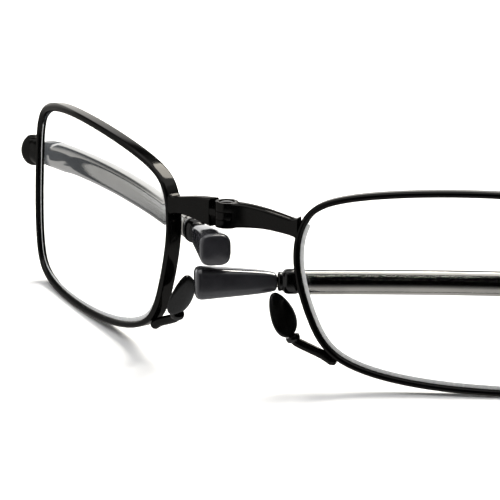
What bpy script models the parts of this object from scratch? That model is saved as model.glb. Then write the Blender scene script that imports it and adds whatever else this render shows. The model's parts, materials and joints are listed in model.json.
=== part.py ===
"""Folding reading glasses: two full-rim halves on a vertical bridge hinge,
each with a nose pad on a wire arm and a telescoping temple.

Lengths are in millimetres here and become metres when a mesh or an empty is
made. Each half is drawn once, as the right half: X runs outward from the
bridge hinge, Y runs back from the front of the lenses, and Z runs up from the
middle of the lens. The left half is its mirror image, turned about the hinge.
"""
import math

import bmesh
import bpy
from mathutils import Matrix, Vector

MM = 0.001

# Where the bridge hinge stands over the origin, the middle of the footprint
HINGE_X = -14.5
HINGE_Y = -24.30
LENS_MIDDLE_Z = 13.67

# How far the left half is folded, from straight (0) to back to back (180)
FOLD_ANGLE = math.radians(61.8)

# Lens opening, from its nasal edge (u) and from the lens middle (w)
NASAL_EDGE_X = 9.9
OPENING_WIDTH = 46.3
LENS_MIDDLE_X = NASAL_EDGE_X + OPENING_WIDTH / 2
OPENING_GUIDE = [
    (45.5, 3.0), (46.5, 8.5), (42.5, 11.2), (31.0, 13.0), (16.5, 13.0),
    (4.0, 11.5), (0.5, 9.0), (-0.5, 3.0), (2.0, -5.0), (5.0, -10.0),
    (16.5, -12.5), (32.0, -13.0), (44.5, -12.5), (46.5, -9.0),
]
STEPS_PER_GUIDE_POINT = 5
BASE_RADIUS = 147.0
FRONT_APEX_Y = -6.25

# Rim wire, seen in section: (outward, depth) with a crowned front and back.
# It swells outward by the flare round the upper outer corner of the lens.
RIM_WIDTH = 0.85
RIM_DEPTH = 2.0
RIM_SECTION = [
    (0.0, 0.1), (0.12, -0.15), (0.35, -0.28), (0.6, -0.2), (0.77, 0.05),
    (RIM_WIDTH, 0.3), (RIM_WIDTH, 1.4), (0.7, 1.8), (0.35, RIM_DEPTH), (0.0, 1.85),
]
FLARE = 0.4
FLARE_CENTRE = (NASAL_EDGE_X + 43.5, 12.0)
FLARE_REACH = (9.0, 4.0)
GROOVE_DEPTH = 0.35
GROOVE_HALF_WIDTH = 0.35

# Lens
LENS_GAP = 0.3
LENS_EDGE_THICKNESS = 1.3
LENS_CENTRE_EXTRA = 0.8
LENS_RINGS = (0.72, 0.4)

# Bridge bars, as stations from hinge to rim: x, y, bottom, top, half thickness
BRIDGE_STATIONS = [
    (0.0, 0.0, 6.65, 10.0, 0.95),
    (2.6, -0.85, 6.85, 9.95, 0.95),
    (5.2, -1.85, 7.0, 9.65, 0.9),
    (7.4, -2.65, 6.8, 9.2, 0.85),
    (9.05, -3.25, 6.5, 8.85, 0.8),
]
TONGUE_BAR_BOTTOMS = (6.2, 6.6, 6.75, 6.5)
BRIDGE_BARREL_RADIUS = 1.5
BRIDGE_BOTTOM_Z = 6.65
BRIDGE_TOP_Z = 10.0
TONGUE_BOTTOM_Z = 7.75
TONGUE_TOP_Z = 8.75
TONGUE_SHOULDER = 2.6
PIN_RADIUS = 0.5
PIN_HOLE_RADIUS = 0.8
PIN_HEAD_RADIUS = 0.95
PIN_HEAD_THICKNESS = 0.35
PIN_HEAD_BEVEL = 0.1
BAR_CORNER = 0.35
NECK_HALF_THICKNESS = 0.85
BARREL_EDGE = 0.2
OVERCUT = 1.0
RUNNING_GAP = 0.25
FORK_CHEEK_Y = -0.1

# Temple hinge at the outer corner; the two temples cross at different heights
TEMPLE_HINGE_X = 60.5
TEMPLE_HINGE_Y = -3.3
TEMPLE_HINGE_Z = {"right": 0.9, "left": 3.4}
TEMPLE_TILT = {"right": math.radians(-0.4), "left": math.radians(1.7)}
TEMPLE_DROP = 0.8
BARREL_RADIUS = 1.75
BARREL_HALF_HEIGHT = 2.2
BARREL_BEVEL = 0.5
KNUCKLE_RADIUS = 1.1
KNUCKLE_HALF_HEIGHT = 0.7
WEB_HALF_WIDTH = 1.0
WEB_REACH = 2.6
END_BLOCK_X = 57.25
END_BLOCK_FRONT_Y = -4.5
END_BLOCK_BACK_Y = -2.4
SLOT_RADIUS = 1.4
SLOT_REACH = 3.5
SCREW_RADIUS = 0.5
SCREW_HOLE_RADIUS = 0.8
SCREW_HEAD_RADIUS = 0.95
SCREW_HEAD_THICKNESS = 0.35
SCREW_HEAD_DEPTH = 0.6
BODY_DROP = 0.15
BODY_CORNER = 0.4
LOCK_SCREW_X = 57.95
LOCK_SCREW_Y = -3.45
LOCK_SCREW_RADIUS = 0.25
LOCK_HOLE_RADIUS = 0.45
LOCK_HEAD_RADIUS = 0.55
LOCK_HEAD_THICKNESS = 0.3
LOCK_HEAD_GAP = 0.2

# Temple, along an arc that bows away from the lens; X as on the half
ARC_APEX_X = 39.4
ARC_APEX_Y = 1.32
ARC_RADIUS = 216.0
TUBE_START_X = 58.4
TUBE_END_X = 9.7
TUBE_HEIGHT = 3.2
TUBE_THICKNESS = 2.7
TUBE_CORNER = 0.8
TUBE_BORE_HEIGHT = 2.1
TUBE_BORE_THICKNESS = 1.3
FERRULE_START_X = 9.4
FERRULE_STEP_X = 7.5
FERRULE_END_X = 6.9
FERRULE_COLLAR_HEIGHT = 2.5
FERRULE_COLLAR_THICKNESS = 2.0
CAP_HEIGHT = 3.0
CAP_THICKNESS = 2.2
CAP_LENGTH = 2.4
CAP_GAP = 0.3
SEAT_DEPTH = 1.2
ROD_CORNER = 0.2
BORE_CORNER = 0.3
ROD_HEIGHT = 1.5
ROD_THICKNESS = 0.7
ROD_INNER_X = 55.5
ROD_OUTER_X = 3.2
TIP_NECK_X = 6.6
TIP_END_X = -3.8
TIP_SOCKET_X = 2.9
TIP_CORNER = 0.32
SOCKET_THICKNESS = 1.3
SOCKET_HEIGHT = 1.75
# Outline of the tip from neck to end: fraction of its length, thickness, height
TIP_PROFILE = [
    (0.0, 1.8, 2.2), (0.03, 2.0, 2.4), (0.19, 2.6, 3.0), (0.5, 3.3, 3.6), (0.9, 4.1, 4.2),
    (0.98, 3.8, 3.9), (1.0, 3.1, 3.2),
]

# Nose pad: a leaf on the end of a wire arm
PAD_CENTRE = Vector((7.7, -3.0, -4.2))
PAD_LONG_AXIS = Vector((0.42, 0.0, -0.908)).normalized()
PAD_SPLAY = math.radians(25.0)
PAD_HALF_LENGTH = 3.0
PAD_HALF_WIDTH = 2.45
PAD_TAPER = 0.2
PAD_CROWN = 0.6
PAD_NOSE_DOME = 0.85
PAD_OUTER_DOME = 0.5
STEM_RADIUS = 0.3
STEM_END = 3.6
PAD_PIVOT = 3.55
CUP_START = 3.25
CUP_END = 3.95
CUP_RADIUS = 0.9
CUP_BORE_RADIUS = 0.6
ARM_RADIUS = 0.55
ARM_PATH = [
    (9.6, -3.0, -8.15), (10.3, -3.1, -8.4), (11.4, -3.3, -8.78), (13.0, -3.7, -9.5),
    (14.1, -4.0, -10.2), (15.1, -4.2, -11.0),
]

SIGN = {"right": 1, "left": -1}

MATERIALS = {
    "gunmetal": ((0.02, 0.02, 0.022), 0.22, 1.0),
    "steel": ((0.55, 0.54, 0.52), 0.25, 1.0),
    "black_trim": ((0.01, 0.01, 0.011), 0.2, 1.0),
    "tip_plastic": ((0.045, 0.045, 0.05), 0.3, 0.0),
    "pad_plastic": ((0.015, 0.015, 0.017), 0.15, 0.0),
    "lens": ((0.92, 0.93, 0.94), 0.03, 0.0),
}


def material(name):
    """The named material, made on first use."""
    found = bpy.data.materials.get(name)
    if found:
        return found
    colour, roughness, metallic = MATERIALS[name]
    made = bpy.data.materials.new(name)
    made.use_nodes = True
    shader = made.node_tree.nodes["Principled BSDF"]
    shader.inputs["Base Color"].default_value = (*colour, 1.0)
    shader.inputs["Roughness"].default_value = roughness
    shader.inputs["Metallic"].default_value = metallic
    return made


def frame(name, side, place, parent=None, turn_y=0.0, turn_z=0.0):
    """An empty that carries the pieces drawn around place, mirrored for left."""
    empty = bpy.data.objects.new(name, None)
    bpy.context.collection.objects.link(empty)
    x, y, z = place
    empty.location = (SIGN[side] * x * MM, y * MM, z * MM)
    empty.rotation_euler = (0.0, SIGN[side] * turn_y, SIGN[side] * turn_z)
    empty.parent = parent
    return empty


def solid(name, side, parent, shape, material_name):
    """One closed mesh from shape, (points, faces), mirrored for the left."""
    points, faces = shape
    mesh = bpy.data.meshes.new(name)
    placed = [(SIGN[side] * x * MM, y * MM, z * MM) for x, y, z in points]
    mesh.from_pydata(placed, [], faces)
    work = bmesh.new()
    work.from_mesh(mesh)
    bmesh.ops.recalc_face_normals(work, faces=work.faces)
    work.to_mesh(mesh)
    work.free()
    mesh.shade_smooth()
    mesh.set_sharp_from_angle(angle=math.radians(35))
    piece = bpy.data.objects.new(name, mesh)
    bpy.context.collection.objects.link(piece)
    piece.parent = parent
    if material_name:
        mesh.materials.append(material(material_name))
    return piece


def combine(piece, side, parent, shape, operation):
    """Add a Boolean with a hidden helper of the given shape."""
    helper = solid(piece.name + "_" + operation.lower(), side, parent, shape, None)
    helper.hide_render = True
    helper.display_type = "WIRE"
    step = piece.modifiers.new(operation.lower(), "BOOLEAN")
    step.operation = operation
    step.object = helper
    step.solver = "EXACT"


def loft(rings, closed=False):
    """Skin rings of equal length, capped at both ends unless closed."""
    count = len(rings[0])
    points = [point for ring in rings for point in ring]
    faces = []
    spans = len(rings) if closed else len(rings) - 1
    for i in range(spans):
        a = i * count
        b = (i + 1) % len(rings) * count
        for j in range(count):
            k = (j + 1) % count
            faces.append((a + j, a + k, b + k, b + j))
    if not closed:
        faces.append(tuple(range(count)))
        faces.append(tuple(range(len(points) - count, len(points))))
    return points, faces


def turned(profile, centre=(0.0, 0.0, 0.0), steps=24):
    """A solid turned about Z from a profile of (radius, height) pairs."""
    rings = []
    for radius, height in profile:
        ring = []
        for i in range(steps):
            angle = 2 * math.pi * i / steps
            ring.append((centre[0] + radius * math.cos(angle),
                         centre[1] + radius * math.sin(angle),
                         centre[2] + height))
        rings.append(ring)
    return loft(rings)


def disc(radius, low, high, centre, bevel=0.0, steps=24):
    """A cylinder about Z, with its two edges bevelled."""
    if not bevel:
        return turned([(radius, low), (radius, high)], centre, steps)
    profile = [(radius - bevel, low), (radius, low + bevel),
               (radius, high - bevel), (radius - bevel, high)]
    return turned(profile, centre, steps)


def box(low, high):
    """A rectangular block between two corners."""
    rings = []
    for z in (low[2], high[2]):
        rings.append([(low[0], low[1], z), (high[0], low[1], z),
                      (high[0], high[1], z), (low[0], high[1], z)])
    return loft(rings)


def rounded_rectangle(width, height, radius, steps=3):
    """Points (across, up) of a rectangle whose corners are arcs."""
    corners = [(1, 1, 0), (-1, 1, 90), (-1, -1, 180), (1, -1, 270)]
    points = []
    for across, up, start in corners:
        for i in range(steps + 1):
            angle = math.radians(start + 90 * i / steps)
            points.append((across * (width / 2 - radius) + radius * math.cos(angle),
                           up * (height / 2 - radius) + radius * math.sin(angle)))
    return points


def spline_loop(guide, steps):
    """A closed cubic B-spline through the neighbourhood of its guide points."""
    points = []
    for i in range(len(guide)):
        a, b, c, d = (Vector(guide[(i + k) % len(guide)]) for k in (-1, 0, 1, 2))
        for j in range(steps):
            t = j / steps
            points.append((a * (1 - t) ** 3 + b * (3 * t ** 3 - 6 * t * t + 4)
                           + c * (-3 * t ** 3 + 3 * t * t + 3 * t + 1) + d * t ** 3) / 6)
    return points


def on_lens(x, z, depth):
    """A point at the given depth behind the sphere that the rim front lies on."""
    across = x - LENS_MIDDLE_X
    front = FRONT_APEX_Y + (across ** 2 + z ** 2) / (2 * BASE_RADIUS)
    inward = Vector((-across, BASE_RADIUS, -z)).normalized()
    return Vector((x, front, z)) + depth * inward


def opening():
    """The lens opening as (x, z, outward x, outward z), anticlockwise."""
    outline = spline_loop(OPENING_GUIDE, STEPS_PER_GUIDE_POINT)
    rows = []
    for i, point in enumerate(outline):
        along = (outline[(i + 1) % len(outline)] - outline[i - 1]).normalized()
        rows.append((NASAL_EDGE_X + point.x, point.y, along.y, -along.x))
    return rows


def make_rim(side, half):
    """The grooved wire round the lens, swept along the opening."""
    middle = RIM_DEPTH / 2
    groove = [(0.0, middle + GROOVE_HALF_WIDTH), (GROOVE_DEPTH, middle),
              (0.0, middle - GROOVE_HALF_WIDTH)]
    rings = []
    for x, z, out_x, out_z in opening():
        away = Vector(((x - FLARE_CENTRE[0]) / FLARE_REACH[0],
                       (z - FLARE_CENTRE[1]) / FLARE_REACH[1]))
        swell = 1 + FLARE / RIM_WIDTH * math.exp(-away.length_squared)
        section = [(out * swell, depth) for out, depth in RIM_SECTION] + groove
        rings.append([on_lens(x + out * out_x, z + out * out_z, depth)
                      for out, depth in section])
    solid(side + "_rim", side, half, loft(rings, closed=True), "gunmetal")


def make_lens(side, half):
    """The lens, with its bevelled edge running round in the rim's groove."""
    middle = RIM_DEPTH / 2
    front = middle - LENS_EDGE_THICKNESS / 2
    back = middle + LENS_EDGE_THICKNESS / 2
    rows = opening()
    tip = GROOVE_DEPTH - LENS_GAP
    edge = []
    for out, depth in ((-LENS_GAP, front), (tip, middle), (-LENS_GAP, back)):
        edge.append([on_lens(x + out * out_x, z + out * out_z, depth)
                     for x, z, out_x, out_z in rows])

    def face_ring(scale, depth):
        return [on_lens(LENS_MIDDLE_X + (x - LENS_MIDDLE_X) * scale, z * scale, depth)
                for x, z, _, _ in rows]

    rings = [face_ring(scale, front) for scale in reversed(LENS_RINGS)]
    rings += edge
    rings += [face_ring(scale, back + LENS_CENTRE_EXTRA * (1 - scale ** 2))
              for scale in LENS_RINGS]
    solid(side + "_lens", side, half, loft(rings), "lens")


def bar_rings(stations):
    """Upright cross-sections of a bridge bar, square to its run."""
    rings = []
    for i, (x, y, bottom, top, half_thickness) in enumerate(stations):
        before = stations[max(i - 1, 0)]
        after = stations[min(i + 1, len(stations) - 1)]
        along = Vector((after[0] - before[0], after[1] - before[1])).normalized()
        across = Vector((-along.y, along.x))
        section = rounded_rectangle(2 * half_thickness, top - bottom, BAR_CORNER, steps=2)
        rings.append([(x + across.x * s, y + across.y * s, (top + bottom) / 2 + up)
                      for s, up in section])
    return rings


def make_bridge(halves):
    """A fork on the right half, a tongue on the left half and their pin."""
    centre = (0.0, 0.0, 0.0)
    counterbore = BRIDGE_TOP_Z - PIN_HEAD_THICKNESS - RUNNING_GAP
    fork = solid("bridge_fork", "right", halves["right"],
                 loft(bar_rings(BRIDGE_STATIONS)), "gunmetal")
    barrel = disc(BRIDGE_BARREL_RADIUS, BRIDGE_BOTTOM_Z, BRIDGE_TOP_Z, centre, BARREL_EDGE)
    combine(fork, "right", halves["right"], barrel, "UNION")
    slot_bottom = TONGUE_BOTTOM_Z - RUNNING_GAP
    slot_top = TONGUE_TOP_Z + RUNNING_GAP
    slot = disc(BRIDGE_BARREL_RADIUS + RUNNING_GAP, slot_bottom, slot_top, centre)
    combine(fork, "right", halves["right"], slot, "DIFFERENCE")
    reach = TONGUE_SHOULDER - RUNNING_GAP
    sweep = box((-reach, FORK_CHEEK_Y, slot_bottom), (reach, reach, slot_top))
    combine(fork, "right", halves["right"], sweep, "DIFFERENCE")
    hole = turned([(PIN_HOLE_RADIUS, BRIDGE_BOTTOM_Z - OVERCUT),
                   (PIN_HOLE_RADIUS, counterbore),
                   (PIN_HEAD_RADIUS + RUNNING_GAP, counterbore),
                   (PIN_HEAD_RADIUS + RUNNING_GAP, BRIDGE_TOP_Z + OVERCUT)])
    combine(fork, "right", halves["right"], hole, "DIFFERENCE")

    shoulder = TONGUE_SHOULDER * Vector(BRIDGE_STATIONS[1][:2]).normalized()
    places = [(shoulder.x, shoulder.y, *BRIDGE_STATIONS[1][2:])] + BRIDGE_STATIONS[2:]
    bar = [(x, y, bottom, top, half_thickness)
           for (x, y, _, top, half_thickness), bottom in zip(places, TONGUE_BAR_BOTTOMS)]
    tongue = solid("bridge_tongue", "left", halves["left"], loft(bar_rings(bar)), "gunmetal")
    lug = disc(BRIDGE_BARREL_RADIUS, TONGUE_BOTTOM_Z, TONGUE_TOP_Z, centre)
    neck_end = BRIDGE_STATIONS[2]
    flat = (TONGUE_BOTTOM_Z, TONGUE_TOP_Z, NECK_HALF_THICKNESS)
    neck = loft(bar_rings([(0.0, 0.0, *flat), (neck_end[0], neck_end[1], *flat)]))
    combine(tongue, "left", halves["left"], neck, "UNION")
    combine(tongue, "left", halves["left"], lug, "UNION")
    through = disc(PIN_HOLE_RADIUS, TONGUE_BOTTOM_Z - OVERCUT, TONGUE_TOP_Z + OVERCUT, centre)
    combine(tongue, "left", halves["left"], through, "DIFFERENCE")

    top = BRIDGE_TOP_Z
    pin = turned([(PIN_RADIUS, BRIDGE_BOTTOM_Z), (PIN_RADIUS, top - PIN_HEAD_THICKNESS),
                  (PIN_HEAD_RADIUS, top - PIN_HEAD_THICKNESS),
                  (PIN_HEAD_RADIUS, top - PIN_HEAD_BEVEL),
                  (PIN_HEAD_RADIUS - 3 * PIN_HEAD_BEVEL, top)])
    solid("bridge_pin", "right", halves["right"], pin, "black_trim")


def make_end_block(side, half):
    """The outer corner block: two hinge lugs, and the lock screw that closes the rim."""
    z = TEMPLE_HINGE_Z[side]
    axis = (TEMPLE_HINGE_X, TEMPLE_HINGE_Y, z)
    height = BARREL_HALF_HEIGHT
    block = solid(side + "_end_block", side, half,
                  disc(BARREL_RADIUS, -height, height, axis, BARREL_BEVEL), "gunmetal")
    middle_y = (END_BLOCK_FRONT_Y + END_BLOCK_BACK_Y) / 2
    body_section = rounded_rectangle(END_BLOCK_BACK_Y - END_BLOCK_FRONT_Y,
                                     2 * (height - BODY_DROP), BODY_CORNER)
    body = loft([[(x, middle_y + across, z + up) for across, up in body_section]
                 for x in (END_BLOCK_X, TEMPLE_HINGE_X)])
    combine(block, side, half, body, "UNION")
    slot_half = KNUCKLE_HALF_HEIGHT + RUNNING_GAP
    combine(block, side, half, disc(SLOT_RADIUS, -slot_half, slot_half, axis), "DIFFERENCE")
    side_gap = WEB_HALF_WIDTH + RUNNING_GAP
    x, y, _ = axis
    folded_way = box((x - side_gap, y, z - slot_half),
                     (x + SLOT_REACH, y + SLOT_REACH, z + slot_half))
    combine(block, side, half, folded_way, "DIFFERENCE")
    open_way = box((x, y - side_gap, z - slot_half),
                   (x + SLOT_REACH, y + SLOT_REACH, z + slot_half))
    combine(block, side, half, open_way, "DIFFERENCE")
    counterbore = height - SCREW_HEAD_DEPTH
    hole = turned([(SCREW_HOLE_RADIUS, -height - OVERCUT), (SCREW_HOLE_RADIUS, counterbore),
                   (SCREW_HEAD_RADIUS + RUNNING_GAP, counterbore),
                   (SCREW_HEAD_RADIUS + RUNNING_GAP, height + OVERCUT)], axis)
    combine(block, side, half, hole, "DIFFERENCE")
    lock_axis = (LOCK_SCREW_X, LOCK_SCREW_Y, z)
    lock_hole = disc(LOCK_HOLE_RADIUS, -height - OVERCUT, counterbore, lock_axis, steps=12)
    combine(block, side, half, lock_hole, "DIFFERENCE")

    under_head = height - SCREW_HEAD_THICKNESS
    screw = turned([(SCREW_RADIUS, -height + 0.1), (SCREW_RADIUS, under_head),
                    (SCREW_HEAD_RADIUS, under_head), (SCREW_HEAD_RADIUS, height - 0.1),
                    (SCREW_HEAD_RADIUS * 0.7, height)], axis, steps=20)
    solid(side + "_hinge_screw", side, half, screw, "steel")
    under_head = -height - LOCK_HEAD_GAP
    lock_end = under_head - LOCK_HEAD_THICKNESS
    lock = turned([(LOCK_HEAD_RADIUS * 0.7, lock_end), (LOCK_HEAD_RADIUS, lock_end + 0.1),
                   (LOCK_HEAD_RADIUS, under_head), (LOCK_SCREW_RADIUS, under_head),
                   (LOCK_SCREW_RADIUS, counterbore - 0.3)], lock_axis, steps=12)
    solid(side + "_lock_screw", side, half, lock, "steel")


def arc_ring(x, section):
    """A section set square to the temple's arc at x, round the hinge centre."""
    across = x - ARC_APEX_X
    sine = across / ARC_RADIUS
    cosine = math.sqrt(1 - sine ** 2)
    centre_y = ARC_APEX_Y - ARC_RADIUS + ARC_RADIUS * cosine
    return [(x + s * sine - TEMPLE_HINGE_X, centre_y + s * cosine - TEMPLE_HINGE_Y,
             up - TEMPLE_DROP) for s, up in section]


def stations(start, end, count):
    """Evenly spaced places from start to end, both included."""
    return [start + (end - start) * i / (count - 1) for i in range(count)]


def shifted(shape, offset):
    """The shape moved by an offset."""
    points, faces = shape
    return [Vector(point) - offset for point in points], faces


def pocketed(outer_rings, inner_rings):
    """A body with a pocket that opens at the end of both lists of rings."""
    rings = outer_rings + list(reversed(inner_rings))
    return loft(rings)


def make_knuckle(side, temple):
    """The middle hinge lug with a web and a cap that carries the tube."""
    half_height = KNUCKLE_HALF_HEIGHT
    centre = (0.0, 0.0, 0.0)
    knuckle = solid(side + "_knuckle", side, temple,
                    disc(KNUCKLE_RADIUS, -half_height, half_height, centre), "steel")
    web = box((-WEB_HALF_WIDTH, 0.2, -half_height),
              (WEB_HALF_WIDTH, WEB_REACH, half_height))
    combine(knuckle, side, temple, web, "UNION")
    section = rounded_rectangle(CAP_THICKNESS, CAP_HEIGHT, TUBE_CORNER)
    cap_start = TUBE_START_X + CAP_GAP
    cap = loft([arc_ring(x, section) for x in (cap_start, cap_start + CAP_LENGTH)])
    combine(knuckle, side, temple, cap, "UNION")
    hole = disc(SCREW_HOLE_RADIUS, -half_height - OVERCUT, half_height + OVERCUT, centre)
    combine(knuckle, side, temple, hole, "DIFFERENCE")


def make_tube(side, temple):
    """The outer sleeve of the temple and the black ferrule at its mouth."""
    outer = rounded_rectangle(TUBE_THICKNESS, TUBE_HEIGHT, TUBE_CORNER)
    bore = rounded_rectangle(TUBE_BORE_THICKNESS, TUBE_BORE_HEIGHT, BORE_CORNER)
    places = stations(TUBE_START_X, TUBE_END_X, 12)
    inner_places = stations(TUBE_START_X - SEAT_DEPTH, TUBE_END_X, 12)
    tube = pocketed([arc_ring(x, outer) for x in places],
                    [arc_ring(x, bore) for x in inner_places])
    solid(side + "_tube", side, temple, tube, "steel")
    slim = rounded_rectangle(TUBE_THICKNESS - 0.3, TUBE_HEIGHT - 0.3, TUBE_CORNER)
    collar = rounded_rectangle(FERRULE_COLLAR_THICKNESS, FERRULE_COLLAR_HEIGHT, 0.6)
    rings = [(FERRULE_START_X, slim), (FERRULE_START_X - 0.3, outer),
             (FERRULE_STEP_X + 0.3, outer), (FERRULE_STEP_X, collar),
             (FERRULE_END_X, collar), (FERRULE_END_X, bore), (FERRULE_START_X, bore)]
    ferrule = loft([arc_ring(x, section) for x, section in rings], closed=True)
    solid(side + "_ferrule", side, temple, ferrule, "black_trim")


def make_slider(side, slide, offset):
    """The inner rod and the moulded tip on its end, which slide together."""
    rod_section = rounded_rectangle(ROD_THICKNESS, ROD_HEIGHT, ROD_CORNER)
    rod = loft([arc_ring(x, rod_section) for x in stations(ROD_INNER_X, ROD_OUTER_X, 14)])
    solid(side + "_rod", side, slide, shifted(rod, offset), "steel")
    outer = []
    for fraction, thickness, height in TIP_PROFILE:
        section = rounded_rectangle(thickness, height, TIP_CORNER * thickness)
        x = TIP_NECK_X + (TIP_END_X - TIP_NECK_X) * fraction
        outer.append(arc_ring(x, section))
    bore = rounded_rectangle(SOCKET_THICKNESS, SOCKET_HEIGHT, BORE_CORNER)
    socket = [arc_ring(x, bore) for x in (TIP_SOCKET_X, TIP_NECK_X)]
    tip = pocketed(list(reversed(outer)), socket)
    solid(side + "_tip", side, slide, shifted(tip, offset), "tip_plastic")


def pad_axes():
    """Columns: across the pad, toward the nose, and along it downward."""
    toward_nose = Vector((-math.cos(PAD_SPLAY), math.sin(PAD_SPLAY), 0.0))
    toward_nose -= toward_nose.dot(PAD_LONG_AXIS) * PAD_LONG_AXIS
    toward_nose.normalize()
    across = toward_nose.cross(PAD_LONG_AXIS)
    return Matrix((across, toward_nose, PAD_LONG_AXIS)).transposed()


def placed(shape, axes, centre):
    """The shape turned onto the given axes and moved to centre."""
    points, faces = shape
    return [axes @ Vector(point) + centre for point in points], faces


def make_pad_parts(side, half, pad, pivot):
    """The wire arm with its cup on the rim side, and the rocking leaf pad."""
    axes = pad_axes()
    rings = []
    for i in range(1, 12):
        angle = math.pi * i / 12
        along = -PAD_HALF_LENGTH * math.cos(angle)
        size = math.sin(angle) * (1 - PAD_TAPER * math.cos(angle))
        ring = []
        for j in range(16):
            turn = 2 * math.pi * j / 16
            dome = PAD_NOSE_DOME if math.sin(turn) > 0 else PAD_OUTER_DOME
            ring.append((PAD_HALF_WIDTH * size * math.cos(turn),
                         dome * size ** PAD_CROWN * math.sin(turn), along))
        rings.append(ring)
    leaf = placed(loft(rings), axes, PAD_CENTRE)
    piece = solid(side + "_nose_pad", side, pad, shifted(leaf, pivot), "pad_plastic")
    stem = turned([(STEM_RADIUS, 0.5 * PAD_HALF_LENGTH), (STEM_RADIUS, STEM_END)], steps=12)
    combine(piece, side, pad, shifted(placed(stem, axes, PAD_CENTRE), pivot), "UNION")
    cup = turned([(CUP_RADIUS - 0.2, CUP_END), (CUP_RADIUS, CUP_END - 0.2),
                  (CUP_RADIUS, CUP_START), (CUP_BORE_RADIUS, CUP_START),
                  (CUP_BORE_RADIUS, CUP_END - 0.2)], steps=16)
    solid(side + "_pad_cup", side, half, placed(cup, axes, PAD_CENTRE), "black_trim")
    path = [Vector(point) for point in ARM_PATH]
    rings = []
    for i, point in enumerate(path):
        along = (path[min(i + 1, len(path) - 1)] - path[max(i - 1, 0)]).normalized()
        across = along.cross(Vector((0, 1, 0))).normalized()
        upright = along.cross(across)
        rings.append([point + ARM_RADIUS * (across * math.cos(math.pi * k / 5)
                                            + upright * math.sin(math.pi * k / 5))
                      for k in range(10)])
    solid(side + "_pad_arm", side, half, loft(rings), "gunmetal")


def make_half(side, half):
    """Everything on one side of the bridge hinge, but for the bridge itself."""
    make_rim(side, half)
    make_lens(side, half)
    make_end_block(side, half)
    hinge = (TEMPLE_HINGE_X, TEMPLE_HINGE_Y, TEMPLE_HINGE_Z[side])
    temple = frame(side + "_temple_axis", side, hinge, half, turn_y=TEMPLE_TILT[side])
    make_knuckle(side, temple)
    make_tube(side, temple)
    arc_centre = Vector((ARC_APEX_X - TEMPLE_HINGE_X,
                         ARC_APEX_Y - ARC_RADIUS - TEMPLE_HINGE_Y, 0.0))
    slide = frame(side + "_slide_axis", side, arc_centre, temple)
    make_slider(side, slide, arc_centre)
    pivot = PAD_CENTRE + PAD_PIVOT * PAD_LONG_AXIS
    pad = frame(side + "_pad_axis", side, pivot, half)
    make_pad_parts(side, half, pad, pivot)


def main():
    for old in list(bpy.data.objects):
        bpy.data.objects.remove(old, do_unlink=True)
    hinge = (HINGE_X, HINGE_Y, LENS_MIDDLE_Z)
    stand = frame("bridge_axis", "right", hinge)
    halves = {
        "right": frame("right_half", "right", (0, 0, 0), stand),
        "left": frame("left_half", "left", (0, 0, 0), stand, turn_z=FOLD_ANGLE),
    }
    for side, half in halves.items():
        make_half(side, half)
    make_bridge(halves)


main()
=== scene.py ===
"""Folding reading glasses: the finished look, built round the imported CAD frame.

Pieces are drawn in millimetres on the right half, as in the CAD: X runs
outward from the bridge hinge, Y back from the lens fronts and Z up from the
middle of the lens. A half's matrix takes them to their place in metres, and
the left half's matrix mirrors them too.
"""
import json
import math

import bmesh
import bpy
from mathutils import Matrix, Vector


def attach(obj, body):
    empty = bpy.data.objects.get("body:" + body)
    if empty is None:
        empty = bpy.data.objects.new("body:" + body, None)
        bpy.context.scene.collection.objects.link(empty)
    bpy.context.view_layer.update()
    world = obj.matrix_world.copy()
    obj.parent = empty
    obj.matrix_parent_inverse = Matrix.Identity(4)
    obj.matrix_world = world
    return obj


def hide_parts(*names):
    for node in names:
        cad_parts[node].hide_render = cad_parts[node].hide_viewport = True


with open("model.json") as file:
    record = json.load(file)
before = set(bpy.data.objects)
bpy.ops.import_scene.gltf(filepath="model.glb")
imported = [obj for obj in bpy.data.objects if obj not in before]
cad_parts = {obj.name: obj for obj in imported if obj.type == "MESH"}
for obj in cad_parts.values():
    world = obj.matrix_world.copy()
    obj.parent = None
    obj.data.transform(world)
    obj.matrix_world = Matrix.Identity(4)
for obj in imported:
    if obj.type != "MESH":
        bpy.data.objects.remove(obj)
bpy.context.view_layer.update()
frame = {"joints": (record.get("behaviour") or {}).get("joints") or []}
JOINTS = {joint["name"]: joint for joint in frame["joints"]}
SIDES = ("right", "left")
MM = 0.001

# ---------------------------------------------------------------- dimensions
TONGUE_MIDDLE_Z = 8.25
BRIDGE_HINGE = Vector(JOINTS["bridge_fold"]["pos_m"]) - Vector((0, 0, TONGUE_MIDDLE_Z * MM))
FOLD_ANGLE = -math.radians(JOINTS["bridge_fold"]["range_deg"][0])

NASAL_EDGE_X = 9.9
OPENING_WIDTH = 46.3
LENS_MIDDLE_X = NASAL_EDGE_X + OPENING_WIDTH / 2
OPENING_GUIDE = [
    (45.5, 3.0), (46.5, 8.5), (42.5, 11.2), (31.0, 13.0), (16.5, 13.0),
    (4.0, 11.5), (0.5, 9.0), (-0.5, 3.0), (2.0, -5.0), (5.0, -10.0),
    (16.5, -12.5), (32.0, -13.0), (44.5, -12.5), (46.5, -9.0),
]
STEPS_PER_GUIDE_POINT = 16
BASE_RADIUS = 147.0
FRONT_APEX_Y = -6.25
RIM_WIDTH = 0.85
RIM_DEPTH = 2.0
FLARE = 0.4
FLARE_CENTRE = Vector((NASAL_EDGE_X + 43.5, 12.0))
FLARE_REACH = Vector((9.0, 4.0))

LENS_FRONT_DEPTH = 0.35
LENS_BACK_DEPTH = 1.65
LENS_CENTRE_EXTRA = 0.2
BEVEL_WIDTH = 0.55
LENS_RING_SCALES = [0.05 + 0.1 * i for i in range(10)]
LENS_SEAT_GAP = 0.02
LENS_EDGE_CHAMFER = 0.03
LENS_RIDGE_HEIGHT = 0.28
LENS_RIDGE_HALF_WIDTH = 0.35
# Painted light: the bevel gets its whitish colour only where its outward tilt up is below this,
# so the top edge stays clear.
FROSTED_AND_PAINTED_LIGHT_BELOW = 0.5

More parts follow.
